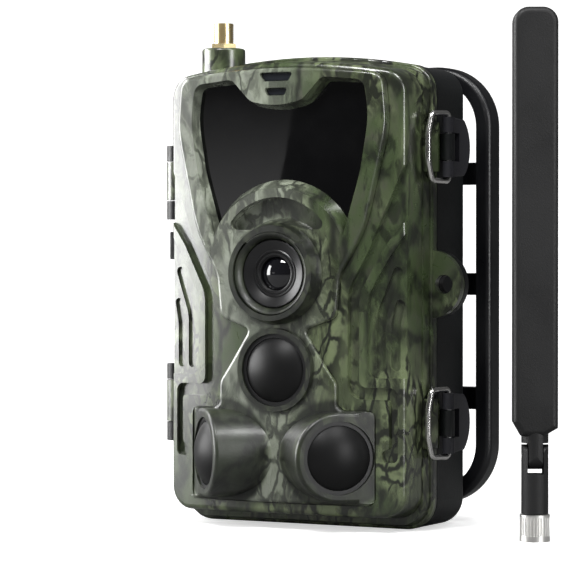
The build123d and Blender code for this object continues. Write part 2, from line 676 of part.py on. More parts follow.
def latch_lug(z):
    """Lug that reaches out from the wall and carries a lever pin."""
    nose = Pos(LEVER_X, LEVER_Y) * Circle(LEVER_HUB_R - 0.1)
    arm = make_face(Polyline((REAR_HALF_W - 1.5, 1.2), (LEVER_X - 1.1, LEVER_Y - 1.4),
                             (LEVER_X + 1.2, LEVER_Y + 1.4), (REAR_HALF_W - 1.5, 7.0), close=True))
    height = 2 * (LEVER_SLOT_HALF - 0.35)
    return extrude(Plane.XY.offset(z - height / 2) * (nose + arm), height)


def strap_bracket():
    """Ladder frame behind the housing: ring, three rungs and a spine on standoffs."""
    middle = (RING_Z[0] + RING_Z[1]) / 2
    height = RING_Z[1] - RING_Z[0]
    ring = Pos(0, middle) * RectangleRounded(2 * RING_HALF_W, height, RING_CORNER_R)
    hole = Pos(0, middle) * RectangleRounded(2 * (RING_HALF_W - RING_BAR), height - 2 * RING_BAR,
                                             RING_CORNER_R - RING_BAR)
    frame = slab(ring, *RING_Y)
    frame = fillet(frame.faces().sort_by(Axis.Y)[0].edges(), 1.8)
    frame = fillet(frame.faces().sort_by(Axis.Y)[-1].edges(), 1.8)
    depth = RING_Y[1] - RING_Y[0]
    cut = extrude(Plane.XZ.offset(-RING_Y[0]) * hole, -depth, taper=RING_DRAFT)
    frame -= cut
    for z in RUNG_Z:
        frame += block((-RING_HALF_W + 3, RING_HALF_W - 3), RUNG_Y, (z - RUNG_H / 2, z + RUNG_H / 2))
    frame += block((-SPINE_HALF_W, SPINE_HALF_W), RUNG_Y, (RUNG_Z[0], RUNG_Z[-1]))
    for x, z in bracket_screw_spots():
        frame += rod_y(STANDOFF_R, REAR_D, RUNG_Y[0] + 1, x, z)
        frame -= rod_y(1.6, 0, 99, x, z)
        frame -= rod_y(3.1, RUNG_Y[1] - 1.8, 99, x, z)
    return frame


def bracket_screws():
    screws = []
    for x, z in bracket_screw_spots():
        head = rod_y(2.9, RUNG_Y[1] - 1.8, RUNG_Y[1] - 0.1, x, z)
        shank = rod_y(1.25, REAR_D - WALL - 1.2, RUNG_Y[1] - 1.8, x, z)
        cross = block((x - 1.6, x + 1.6), (RUNG_Y[1] - 0.9, 99), (z - 0.3, z + 0.3)) \
            + block((x - 0.3, x + 0.3), (RUNG_Y[1] - 0.9, 99), (z - 1.6, z + 1.6))
        screws.append(head + shank - cross)
    return Compound(children=screws)


def cell_spots():
    return [((column - 1.5) * CELL_PITCH, TRAY_Z0 + TRAY_WALL + 1.2 + row * (CELL_L + 3.4))
            for row in range(2) for column in range(4)]


def battery_tray():
    half_w = 2 * CELL_PITCH + TRAY_WALL
    top = TRAY_Z0 + 2 * TRAY_WALL + 2 * CELL_L + 6.6
    tray = block((-half_w, half_w), (CELL_Y - 2.0, TRAY_BACK_Y), (TRAY_Z0, top))
    room = block((-half_w + TRAY_WALL, half_w - TRAY_WALL), (0, CELL_Y + 1.0),
                 (TRAY_Z0 + TRAY_WALL, top - TRAY_WALL))
    tray -= room
    for x, z in cell_spots():
        tray -= rod_z(CELL_R + 0.15, z - 1.0, z + CELL_L + 1.2, x, CELL_Y)
    return tray


def battery_cells():
    cells = []
    for x, z in cell_spots():
        cells.append(rod_z(CELL_R, z, z + CELL_L - 1.2, x, CELL_Y) + rod_z(2.7, z, z + CELL_L, x, CELL_Y))
    return Compound(children=cells)


def battery_contacts():
    plates = []
    for x, z in cell_spots():
        across, deep = (x - CONTACT_HALF, x + CONTACT_HALF), (CELL_Y - CONTACT_HALF, CELL_Y + CONTACT_HALF)
        plates.append(block(across, deep, (z + CELL_L + 0.1, z + CELL_L + 0.5)))
        plates.append(block(across, deep, (z - 0.6, z - 0.1)))
    return Compound(children=plates)


def gasket_ring(grow):
    """Outline of the seal, or of its groove when grown."""
    outside, inside = GASKET_INSET - grow, GASKET_INSET + GASKET_W + grow
    top = CASE_H - 0.4
    return arched(REAR_HALF_W - outside, outside, top - outside, 8, 8) \
        - arched(REAR_HALF_W - inside, inside, top - inside, 7, 7)


def hinge_pins():
    return Compound(children=[rod_z(HINGE_PIN_R, low + 0.3, high - 0.3, HINGE_X, 0)
                              for low, _, _, high in HINGE_SPANS])


def latch_pins():
    return Compound(children=[rod_z(LEVER_PIN_R, z - 8.6, z + 8.6, LEVER_X, LEVER_Y) for z in LATCH_Z])


def rear_half():
    bush = rod_z(TRIPOD_BUSH_R, 0, TRIPOD_L, 0, TRIPOD_Y)
    bush -= rod_z(TRIPOD_R, -1, TRIPOD_L - 0.8, 0, TRIPOD_Y)
    jack = rod_z(JACK_R, PLUG_T + 0.4, 11, JACK_X, TRIPOD_Y)
    jack -= rod_z(2.8, 0, 9.5, JACK_X, TRIPOD_Y)
    jack += rod_z(0.9, PLUG_T + 3.0, 9.8, JACK_X, TRIPOD_Y)
    return {
        "rear_housing": rear_housing(),
        "strap_bracket": strap_bracket(),
        "bracket_screws": bracket_screws(),
        "case_gasket": slab(gasket_ring(0), SEAM_GAP - 0.1, SEAM_GAP + GASKET_D),
        "tripod_bush": bush,
        "battery_tray": battery_tray(),
        "battery_cells": battery_cells(),
        "battery_contacts": battery_contacts(),
        "hinge_pins": hinge_pins(),
        "latch_pins": latch_pins(),
        "power_jack": jack,
    }


# ---------------------------------------------------------------- latches
def latch_lever(z):
    """D-shaped lever with two knuckles on the lug pin."""
    x_in = LEVER_X - 0.5
    points = [(LEVER_Y, -LEVER_HALF_H), (LEVER_Y + 9.2, -LEVER_HALF_H + 0.6)]
    rear = LEVER_Y + LEVER_LEN
    arc = ThreePointArc(points[1], (rear, 0), (points[1][0], -points[1][1]))
    edges = Curve() + [Polyline(points[0], points[1]), arc,
                       Polyline((points[1][0], -points[1][1]), (points[0][0], -points[0][1]), points[0])]
    plate = extrude(Plane(origin=(x_in, 0, z), x_dir=(0, 1, 0), z_dir=(1, 0, 0)) * make_face(edges), LEVER_T)
    plate = fillet(plate.faces().sort_by(Axis.X)[-1].edges().sort_by(Axis.Y)[1:], 0.5)
    hub = rod_z(LEVER_HUB_R, z - LEVER_HALF_H, z + LEVER_HALF_H, LEVER_X, LEVER_Y)
    heel = Pos(BAIL_PIVOT[0], BAIL_PIVOT[1], z) * Cylinder(1.75, 2 * LEVER_HALF_H)
    lever = plate + hub + heel
    lever -= block((40, 60), (-9, LEVER_SLOT_END), (z - LEVER_SLOT_HALF, z + LEVER_SLOT_HALF))
    lever -= rod_z(LEVER_PIN_R + HINGE_CLEAR, z - 8.7, z + 8.7, LEVER_X, LEVER_Y)
    lever -= rod_z(BAIL_WIRE_R + HINGE_CLEAR, z + 6.6, z + 12, *BAIL_PIVOT)
    lever -= rod_z(BAIL_WIRE_R + HINGE_CLEAR, z - 12, z - 6.6, *BAIL_PIVOT)
    return lever


def latch_bail(z):
    """Bent wire: two trunnions, two legs and a bowed front leg."""
    px, py = BAIL_PIVOT
    fx, fy = BAIL_FRONT
    bow = 1.7
    points = [(px, py, z + 6.9), (px, py, z + BAIL_HALF_H), (fx + 0.4, fy + bow, z + BAIL_HALF_H - 0.2),
              (fx, fy, z + 4.5), (fx, fy, z - 4.5),
              (fx + 0.4, fy + bow, z - BAIL_HALF_H + 0.2), (px, py, z - BAIL_HALF_H), (px, py, z - 6.9)]
    path = FilletPolyline(*points, radius=[1.3, 1.8, 9, 9, 1.8, 1.3])
    start = Plane(origin=path @ 0, z_dir=path % 0)
    return sweep(start * Circle(BAIL_WIRE_R), path=path)


def port_plug():
    """Rubber plug in the power jack's recess, on a short strap."""
    plug = rod_z(JACK_R - 0.2, 0.0, PLUG_T, JACK_X, TRIPOD_Y)
    plug += rod_z(2.5, PLUG_T, PLUG_T + 2.6, JACK_X, TRIPOD_Y)
    return plug


# ---------------------------------------------------------------- aerial
def place_aerial(shape):
    return Pos(AERIAL_X, AERIAL_Y, 0) * Rot(0, 0, AERIAL_TURN) * shape


def aerial():
    """Folding aerial standing beside the case on its nut."""
    nut = rod_z(NUT_R, 0, NUT_H, 0, 0)
    for step in range(30):
        nut -= Rot(0, 0, 12 * step) * (Pos(NUT_R + 0.12, 0, NUT_H / 2 + 0.6) * Cylinder(0.32, NUT_H - 2.4))
    nut -= rod_z(NUT_BORE_R, -1, NUT_BORE_D, 0, 0)
    nut -= rod_z(COLLAR_FLANGE_R + 0.15, NUT_BORE_D - 0.1, NUT_BORE_D + 1.2, 0, 0)
    nut -= rod_z(COLLAR_STEM_R + 0.3, NUT_BORE_D, NUT_H + 1, 0, 0)
    collar = rod_z(COLLAR_R, NUT_H + 0.3, COLLAR_TOP_Z, 0, 0)
    collar += rod_z(COLLAR_STEM_R, NUT_BORE_D + 0.4, NUT_H + 0.4, 0, 0)
    collar += rod_z(COLLAR_FLANGE_R, NUT_BORE_D + 0.3, NUT_BORE_D + 0.9, 0, 0)
    cheek = block((-COLLAR_R, COLLAR_R), (-COLLAR_R, COLLAR_R), (COLLAR_TOP_Z - 0.2, KNUCKLE_Z + 3.4))
    cheek &= rod_z(COLLAR_R, COLLAR_TOP_Z - 0.2, KNUCKLE_Z + 9, 0, 0)
    round_top = Pos(0, 0, KNUCKLE_Z) * Rot(0, 90, 0) * Cylinder(3.4, 20)
    cheek &= round_top + block((-9, 9), (-9, 9), (0, KNUCKLE_Z))
    tongue = 2.1
    collar += cheek - block((-tongue - 0.3, tongue + 0.3), (-9, 9), (COLLAR_TOP_Z + 0.8, 99))
    knuckle = block((-tongue, tongue), (-COLLAR_R, COLLAR_R), (COLLAR_TOP_Z + 1.6, KNUCKLE_Z + 5.5))
    knuckle &= rod_z(COLLAR_R, 0, 60, 0, 0)
    round_foot = Pos(0, 0, KNUCKLE_Z) * Rot(0, 90, 0) * Cylinder(4.0, 20)
    knuckle &= round_foot + block((-9, 9), (-9, 9), (KNUCKLE_Z, 99))
    neck = rod_z(COLLAR_R, KNUCKLE_Z + 3.9, NECK_TOP_Z, 0, 0)
    hole = Pos(0, 0, KNUCKLE_Z) * Rot(0, 90, 0) * Cylinder(1.0, 20)
    pin = Pos(0, 0, KNUCKLE_Z) * Rot(0, 90, 0) * Cylinder(1.0, 7.2)
    middle = (PADDLE_Z0 + AERIAL_H) / 2
    blade = Pos(0, 0, middle) * Box(2 * PADDLE_HALF_W, PADDLE_T, AERIAL_H - PADDLE_Z0)
    blade = fillet(blade.edges().filter_by(Axis.Y).sort_by(Axis.Z)[-2:], 4.6)
    blade = chamfer(blade.edges().filter_by(Axis.Y).sort_by(Axis.Z)[:2], 4.2, 2.4)
    blade = fillet(blade.faces().sort_by(Axis.Y)[0].edges() + blade.faces().sort_by(Axis.Y)[-1].edges(), 1.7)
    paddle = blade + neck + knuckle
    paddle -= Pos(0, 0, KNUCKLE_Z) * Rot(0, 90, 0) * Cylinder(1.0 + HINGE_CLEAR, 20)
    collar -= hole
    return {"aerial_nut": nut, "aerial_collar": collar, "aerial_pin": pin, "aerial_paddle": paddle}


# ---------------------------------------------------------------- assembly
def build():
    nodes = front_half()
    nodes.update(control_panel())
    nodes.update(rear_half())
    for name, z in zip(LATCH_NAMES, LATCH_Z):
        nodes["latch_lever_" + name] = latch_lever(z)
        nodes["latch_bail_" + name] = latch_bail(z)
    nodes["port_plug"] = port_plug()
    for name, shape in aerial().items():
        nodes[name] = place_aerial(shape)
    return nodes


os.makedirs("parts", exist_ok=True)
for name, shape in build().items():
    export_step(Pos(0, -TRIPOD_Y, 0) * shape, os.path.join("parts", name + ".step"))
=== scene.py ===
# %% [markdown]
# # A trail camera in its studio
# A trail camera is a weatherproof box that waits on a tree. The moving model is already made: its
# case, latches, keys and aerial come in as a fixed frame of named pieces. This lesson gives every
# piece its finish, turns new shapes for the lens and the motion windows, and lights it softly.

import math

import bmesh
import bpy
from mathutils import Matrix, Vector


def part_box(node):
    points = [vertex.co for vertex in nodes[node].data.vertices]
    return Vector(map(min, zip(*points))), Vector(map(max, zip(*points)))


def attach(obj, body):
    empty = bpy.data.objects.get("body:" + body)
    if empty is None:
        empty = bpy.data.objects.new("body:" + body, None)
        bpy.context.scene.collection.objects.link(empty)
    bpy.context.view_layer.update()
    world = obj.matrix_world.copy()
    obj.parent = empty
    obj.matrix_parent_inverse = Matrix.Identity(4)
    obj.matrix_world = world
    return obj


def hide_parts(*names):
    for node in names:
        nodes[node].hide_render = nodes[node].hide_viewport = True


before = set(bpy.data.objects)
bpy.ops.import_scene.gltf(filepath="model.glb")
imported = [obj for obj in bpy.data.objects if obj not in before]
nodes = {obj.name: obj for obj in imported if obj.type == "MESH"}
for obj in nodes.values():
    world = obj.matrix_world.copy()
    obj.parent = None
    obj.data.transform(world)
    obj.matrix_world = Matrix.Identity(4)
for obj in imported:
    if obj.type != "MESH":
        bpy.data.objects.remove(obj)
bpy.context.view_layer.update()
print("pieces in the frame:", len(nodes))

# %% [markdown]
# ## The camera and the floor
# A product picture is taken from far away with a long lens, so that upright edges stay upright. The
# camera stands to the right of the case and looks slightly down. Its place is worked out from an angle,
# a height and a distance about a point near the middle of the case.

# %% Camera
VIEW_TURN = math.radians(28.5)
VIEW_RISE = math.radians(0.58)
VIEW_DISTANCE = 0.8448
LOOK_AT = Vector((-0.00964, -0.011, 0.07579))
SENSOR_MM = 36.0
LENS_MM = 166.85

back = Vector((math.sin(VIEW_TURN) * math.cos(VIEW_RISE),
               -math.cos(VIEW_TURN) * math.cos(VIEW_RISE),
               math.sin(VIEW_RISE)))
lens = bpy.data.cameras.new("view")
lens.sensor_width = SENSOR_MM
lens.lens = LENS_MM
view = bpy.data.objects.new("view", lens)
view.location = LOOK_AT + back * VIEW_DISTANCE
view.rotation_euler = back.to_track_quat("Z", "Y").to_euler()
bpy.context.scene.collection.objects.link(view)
bpy.context.scene.camera = view
print("camera stands at", tuple(round(c, 3) for c in view.location))

# %% [markdown]
# ## Shader arithmetic
# A finish is mostly arithmetic on patterns. Wiring Math nodes by hand hides the sum, so a small class
# wraps a socket and lets Python operators add the nodes: `1 - mask * 0.5` reads as what it does. Every
# other node comes from one method that takes the node's kind, its settings and its sockets.


# %% Wire and Finish
class Wire:
    """A value in a shader that understands arithmetic."""

    def __init__(self, finish, socket):
        self.finish = finish
        self.socket = socket

    def sum(self, operation, first, second=0.0):
        return self.finish.add("Math", {"operation": operation}, {0: first, 1: second})

    def __add__(self, other):
        return self.sum("ADD", self, other)

    def __radd__(self, other):
        return self.sum("ADD", other, self)

    def __sub__(self, other):
        return self.sum("SUBTRACT", self, other)

    def __rsub__(self, other):
        return self.sum("SUBTRACT", other, self)

    def __mul__(self, other):
        return self.sum("MULTIPLY", self, other)

    def __rmul__(self, other):
        return self.sum("MULTIPLY", other, self)

    def __pow__(self, other):
        return self.sum("POWER", self, other)

    def ramp(self, low, high):
        """0 below low, 1 above high, and smooth between."""
        return self.finish.add("MapRange", {"interpolation_type": "SMOOTHSTEP"},
                               {"Value": self, "From Min": low, "From Max": high})


class Finish:
    """A material that is being mixed."""

    def __init__(self, title):
        self.material = bpy.data.materials.new(title)
        self.material.use_nodes = True
        self.tree = self.material.node_tree
        self.tree.nodes.clear()
        self.surface = self.tree.nodes.new("ShaderNodeBsdfPrincipled")
        output = self.tree.nodes.new("ShaderNodeOutputMaterial")
        self.tree.links.new(self.surface.outputs[0], output.inputs[0])

    def feed(self, socket, value):
        if isinstance(value, Wire):
            self.tree.links.new(value.socket, socket)
        else:
            socket.default_value = value

    def add(self, kind, settings=None, sockets=None, out=None):
        """Add one node; sockets are named or numbered, and out picks an output."""
        node = self.tree.nodes.new("ShaderNode" + kind)
        for key, value in (settings or {}).items():
            setattr(node, key, value)
        for key, value in (sockets or {}).items():
            if isinstance(key, int):
                socket = node.inputs[key]
            else:
                socket = next(s for s in node.inputs if s.name == key and s.enabled)
            self.feed(socket, value)
        usable = [s for s in node.outputs if s.enabled]
        chosen = usable[0] if out is None else next(s for s in usable if s.name == out)
        return Wire(self, chosen)

    def mix(self, factor, first, second):
        """Blend two colours."""
        ends = [c if isinstance(c, Wire) else (*c, 1.0) for c in (first, second)]
        return self.add("Mix", {"data_type": "RGBA"}, {"Factor": factor, "A": ends[0], "B": ends[1]})

    def place(self, stretch=(1, 1, 1)):
        """Coordinates fixed to the piece, in metres, scaled by stretch."""
        here = self.add("TexCoord", out="Object")
        return self.add("Mapping", None, {"Vector": here, "Scale": stretch})

    def noise(self, scale, detail=3.0, rough=0.5, where=None, twist=0.0):
        where = where or self.place()
        return self.add("TexNoise", None, {"Vector": where, "Scale": scale, "Detail": detail,
                                           "Roughness": rough, "Distortion": twist})

    def set(self, **values):
        """Set or link sockets of the surface by name, with underscores for spaces."""
        for key, value in values.items():
            self.feed(self.surface.inputs[key.replace("_", " ")], value)

    def bump(self, height, distance):
        """Turn a height pattern into a Normal; distance is in metres."""
        lift = self.add("Bump", None, {"Height": height, "Distance": distance, "Strength": 1.0})
        self.feed(self.surface.inputs["Normal"], lift)


def dress(finish, *names):
    """Give a finish to pieces of the frame."""
    for name in names:
        piece = nodes[name]
        piece.data.materials.clear()
        piece.data.materials.append(finish.material)


print("shader helpers are ready")

# %% [markdown]
# ## Bark camouflage
# The case is moulded in olive plastic, and a film printed with tree bark is wrapped over it in a water
# bath. The print runs up and down like a trunk: an olive ground, moss and black shadows between scales of
# bark. Over the print the left side is painted paler, a painted light that stands for the lamp on the left.
# Noise squeezed along Z gives the grain, and the distance to the borders of bent cells gives the cracks.
# It stays a pattern in space, so it flows over every groove as the film does.

# %% Bark colours
OLIVE = (0.046, 0.066, 0.028)
MOSS = (0.140, 0.172, 0.088)
BARK_BROWN = (0.060, 0.058, 0.044)
SHADOW = (0.0035, 0.0045, 0.003)
# A pale sage laid over the left side of the case as painted light.
PAINTED_LIGHT = (0.33, 0.355, 0.30)
# Each snout is the middle of a circle, across and up, and its radius, in metres.
SNOUTS = [(0.0, 0.0796, 0.0165), (0.0, 0.0497, 0.0135), (-0.0195, 0.0233, 0.0175), (0.0195, 0.0233, 0.0175)]


def bark(title, rough, shadow, pale, pale_edge, snout=0.0):
    """Printed bark. shadow is how dark the cracks are, pale how strongly the painted light pales the left
    side, and pale_edge the place across the case, in metres, where that painted light ends. snout is how
    much the print is darkened inside the circles round the raised snouts."""
    f = Finish(title)
    trunk = f.place(stretch=(1.0, 1.0, 0.5))
    wander = f.noise(34, 4, 0.55, trunk, 0.7)
    grain = f.noise(170, 5, 0.65, trunk, 0.8)
    swirl = f.add("TexNoise", None, {"Vector": trunk, "Scale": 75.0, "Detail": 4.0}, out="Color")
    bent = f.add("VectorMath", {"operation": "MULTIPLY_ADD"}, {0: swirl, 1: (0.02, 0.02, 0.02), 2: trunk})
    scales = f.add("TexVoronoi", {"feature": "DISTANCE_TO_EDGE"}, {"Vector": bent, "Scale": 150.0})
    plates = f.add("TexVoronoi", {"feature": "DISTANCE_TO_EDGE"}, {"Vector": bent, "Scale": 70.0})
    cracks = (1 - scales.ramp(0.04, 0.14)) * wander.ramp(0.45, 0.54)
    gaps = (1 - plates.ramp(0.02, 0.17)) * grain.ramp(0.30, 0.55)
    cloud = f.noise(62, 6, 0.65, trunk, 1.2).ramp(0.53, 0.60)
    dark = f.add("Math", {"operation": "MAXIMUM"}, {0: cracks, 1: gaps * 0.9})
    dark = f.add("Math", {"operation": "MAXIMUM"}, {0: dark, 1: cloud * 0.7})
    ground = f.mix(wander.ramp(0.42, 0.56), OLIVE, MOSS)
    ground = f.mix(grain.ramp(0.45, 0.75) * 0.7, ground, BARK_BROWN)
    printed = f.mix(dark * shadow, ground, SHADOW)
    across = f.add("SeparateXYZ", None, {0: f.place()}, out="X")
    height = f.add("SeparateXYZ", None, {0: f.place()}, out="Z")
    # Circles round the snouts: inside them the print is darkened, the painted light held off, the coat
    # thinned and the roughness raised.
    snout_circles = across * 0.0
    for centre, level, radius in SNOUTS:
        reach = (across - centre) ** 2 + (height - level) ** 2
        near = 1 - reach.ramp((radius - 0.001) ** 2, (radius + 0.001) ** 2)
        snout_circles = f.add("Math", {"operation": "MAXIMUM"}, {0: snout_circles, 1: near})
    snout_circles = snout_circles * snout
    printed = f.mix(snout_circles * 0.82, printed, SHADOW)
    # Painted light: the colour pales towards the left, where the left lamp falls, with the grain running
    # through it.
    painted_lit_side = (pale_edge - across + (wander - 0.5) * 0.06).ramp(-0.012, 0.022)
    painted_sheen = f.mix(grain.ramp(0.3, 0.7), PAINTED_LIGHT, tuple(c * 0.5 for c in PAINTED_LIGHT))
    shaded = f.mix(painted_lit_side * pale * (1 - dark * 0.75) * (1 - snout_circles * 0.94), printed, painted_sheen)
    f.set(Base_Color=shaded, Roughness=rough + 0.12 * grain.ramp(0.35, 0.7) + 0.12 * snout_circles,
          Coat_Weight=0.7 - 0.6 * snout_circles)
    f.surface.inputs["Coat Roughness"].default_value = 0.16
    f.bump(f.noise(1500, 2, 0.5) * 0.6 + dark * -0.2, 0.00005)
    return f


# %% Bark on the front half
shell_bark = bark("bark print", 0.27, 0.95, 0.35, -0.030)
mask_bark = bark("bark print on the mask", 0.24, 0.93, 0.85, 0.010, snout=1.0)
dress(shell_bark, "front_shell", "aerial_boss")
dress(mask_bark, "face_mask", "lens_bezel")
print("bark print on 4 pieces")

# %% [markdown]
# ## Dark mouldings
# The rear half, the bracket and the aerial are textured black plastic. A mould that was spark-eroded
# leaves a fine even grain, which breaks up reflections, so the grain is a bump and the roughness varies
# a little. One function makes them all from a colour, a roughness and a grain size.


# %% Plastics
def moulding(title, colour, rough, grain, depth, shine=0.5):
    """Moulded plastic: grain is features per metre, depth the bump height in metres, shine the
    specular level."""
    f = Finish(title)
    tooth = f.noise(grain, 3, 0.6)
    handled = f.noise(38, 4, 0.55)
    lighter = tuple(min(1.0, c * 1.7 + 0.002) for c in colour)
    f.set(Base_Color=f.mix(handled.ramp(0.35, 0.7) * 0.5, colour, lighter),
          Roughness=rough - 0.05 + 0.12 * handled.ramp(0.3, 0.7) + 0.05 * tooth)
    f.surface.inputs["Specular IOR Level"].default_value = shine
    f.bump(tooth, depth)
    return f


housing_black = moulding("housing plastic", (0.0035, 0.0042, 0.0045), 0.36, 1500, 0.00005, 0.4)
bracket_black = moulding("bracket plastic", (0.0028, 0.003, 0.0038), 0.30, 1300, 0.00006, 0.4)
lever_grey = moulding("lever plastic", (0.012, 0.012, 0.015), 0.42, 1900, 0.00006, 0.4)
aerial_grey = moulding("aerial plastic", (0.0065, 0.0065, 0.0068), 0.50, 2100, 0.00006, 0.35)
inner_black = moulding("inner plastic", (0.018, 0.018, 0.020), 0.5, 1500, 0.00006)
chip_black = moulding("chip epoxy", (0.012, 0.012, 0.013), 0.55, 2500, 0.00003)
key_rubber = moulding("key silicone", (0.085, 0.085, 0.09), 0.6, 1200, 0.00004)
seal_rubber = moulding("seal silicone", (0.010, 0.010, 0.010), 0.62, 1200, 0.00004)
white_core = moulding("white insulator", (0.62, 0.61, 0.57), 0.4, 1800, 0.00002)
dress(housing_black, "rear_housing")
dress(bracket_black, "strap_bracket")
dress(lever_grey, "latch_lever_upper", "latch_lever_lower")
dress(aerial_grey, "aerial_collar", "aerial_paddle")
dress(inner_black, "inner_cover", "battery_tray")
dress(chip_black, "board_chips", "speaker", "memory_card")
dress(key_rubber, "power_switch", *[name for name in nodes if name.startswith("key_")])
dress(seal_rubber, "case_gasket", "port_plug")
dress(white_core, "connector_core")
print("moulded finishes: 9")

# %% [markdown]
# ## Polished black windows
# The infrared panel passes light that the eye can't see and looks like black glass. Polished acrylic is
# a dark base under a smooth clear coat. Real panels are never perfectly clean, so a faint film of
# dust changes the roughness in soft patches.


# %% Windows and rings
def polished(title, colour, rough, smear, coat=0.0):
    """Glossy dark piece: smear is how much the film of dust roughens it, coat a lacquer on top."""
    f = Finish(title)
    film = f.noise(55, 4, 0.6).ramp(0.45, 0.8)
    f.set(Base_Color=f.mix(film * 0.3, colour, tuple(c + 0.006 for c in colour)),
          Roughness=rough + smear * film)
    f.surface.inputs["Coat Weight"].default_value = coat
    f.surface.inputs["Coat Roughness"].default_value = 0.03
    f.bump(f.noise(60, 2, 0.4), 0.00001)
    return f


panel_black = polished("infrared acrylic", (0.0012, 0.0012, 0.0015), 0.015, 0.02)
dome_black = polished("motion window", (0.006, 0.006, 0.0062), 0.42, 0.08)
ring_black = polished("anodised rings", (0.0045, 0.0045, 0.005), 0.34, 0.10)
smoked = polished("smoked window", (0.014, 0.016, 0.020), 0.12, 0.05)
display_dark = polished("display glass", (0.006, 0.007, 0.009), 0.06, 0.05)
emitter = polished("emitter epoxy", (0.03, 0.03, 0.045), 0.12, 0.05)
glass = polished("coated lens glass", (0.003, 0.003, 0.005), 0.03, 0.02, 0.8)
cell_wrap = polished("cell wrap", (0.03, 0.035, 0.05), 0.25, 0.1)
dome_black.surface.inputs["Specular IOR Level"].default_value = 0.2
dress(panel_black, "ir_window")
dress(dome_black, "pir_window_centre", "pir_window_left", "pir_window_right")
dress(ring_black, "lens_barrel", "pir_rings")
dress(smoked, "indicator_window", "microphone")
dress(display_dark, "display_panel")
dress(emitter, "ir_leds")
dress(glass, "lens_glass")
dress(cell_wrap, "battery_cells")
print("polished finishes: 8")

# %% [markdown]
# ## Turned pieces
# Anything turned on a lathe is one outline spun round an axis. The lens has three turned pieces: a ring in
# the case's own finish that closes the snout, a black funnel with fine steps that stop stray light, and
# the front element. The three motion windows are domes turned about axes that look out at an angle. An
# outline is a list of (radius, depth) pairs in millimetres, where depth runs back from the front.

# %% Turning
MM = 0.001
LATHE_STEPS = 96


def turned(name, outline, axis_point, body, finish, sharp=30.0, turn=0.0):
    """Spin a closed outline of (radius, depth) pairs about a level axis that runs to the rear, swung
    round by turn radians."""
    mesh = bpy.data.meshes.new(name)
    build = bmesh.new()
    rings = []
    start = Vector(axis_point)
    inward, aside = Vector((-math.sin(turn), math.cos(turn), 0)), Vector((math.cos(turn), math.sin(turn), 0))
    for step in range(LATHE_STEPS):
        angle = 2 * math.pi * step / LATHE_STEPS
        spoke = aside * math.cos(angle) + Vector((0, 0, math.sin(angle)))
        rings.append([build.verts.new(start + spoke * r * MM + inward * depth * MM) for r, depth in outline])
    for step in range(LATHE_STEPS):
        near, far = rings[step], rings[(step + 1) % LATHE_STEPS]
        for i in range(len(outline)):
            j = (i + 1) % len(outline)
            build.faces.new((near[i], near[j], far[j], far[i]))
    bmesh.ops.remove_doubles(build, verts=build.verts, dist=1e-6)
    bmesh.ops.dissolve_degenerate(build, edges=build.edges, dist=1e-7)
    bmesh.ops.recalc_face_normals(build, faces=build.faces)
    build.to_mesh(mesh)
    build.free()
    mesh.shade_smooth()
    mesh.set_sharp_from_angle(angle=math.radians(sharp))
    mesh.materials.append(finish.material)
    piece = bpy.data.objects.new(name, mesh)
    bpy.context.scene.collection.objects.link(piece)
    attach(piece, body)
    return piece


bezel_low, bezel_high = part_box("lens_bezel")
lens_axis = ((bezel_low[0] + bezel_high[0]) / 2, bezel_low[1], (bezel_low[2] + bezel_high[2]) / 2)
print("lens axis at", tuple(round(c, 4) for c in lens_axis))

# %% Snout ring and funnel
snout_ring = turned("snout_ring", [(12.85, 0.35), (12.6, 0.0), (12.35, 0.0), (11.9, 0.25), (11.0, 1.5),
                                   (10.75, 2.3), (10.6, 3.6), (10.6, 8.0), (12.85, 8.0)],
                    lens_axis, "front_half", mask_bark)
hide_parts("lens_bezel")
funnel = turned("lens_funnel", [(10.55, 1.9), (10.3, 1.75), (9.9, 1.85), (7.45, 3.0), (7.15, 2.8),
                                (6.85, 2.85), (6.7, 3.2), (6.4, 3.3), (6.25, 3.05), (5.75, 3.1),
                                (5.55, 3.5), (5.3, 3.6), (5.24, 4.2), (5.24, 8.0), (10.55, 8.0)],
                lens_axis, "front_half", ring_black)
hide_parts("lens_barrel")
print("turned:", snout_ring.name, funnel.name)

# %% Front element
DOME_R = 5.2
DOME_FRONT = 2.9
DOME_EDGE = 4.6
DOME_RINGS = 16
dome_sphere = (DOME_R ** 2 + (DOME_EDGE - DOME_FRONT) ** 2) / (2 * (DOME_EDGE - DOME_FRONT))
dome_outline = [(0.0, 8.0), (DOME_R, 8.0)]
for step in range(DOME_RINGS + 1):
    radius = DOME_R * (1 - step / DOME_RINGS)
    dome_outline.append((radius, DOME_FRONT + dome_sphere - math.sqrt(dome_sphere ** 2 - radius ** 2)))
front_element = turned("front_element", dome_outline, lens_axis, "front_half", glass)
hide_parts("lens_glass")
print("front element curved to", round(dome_sphere, 2), "mm")

# %% Motion windows
WINDOW_SPHERE = 16.0
WINDOW_FLANGE = 0.8
WINDOW_LEDGE = 0.5
WINDOW_RINGS = 32


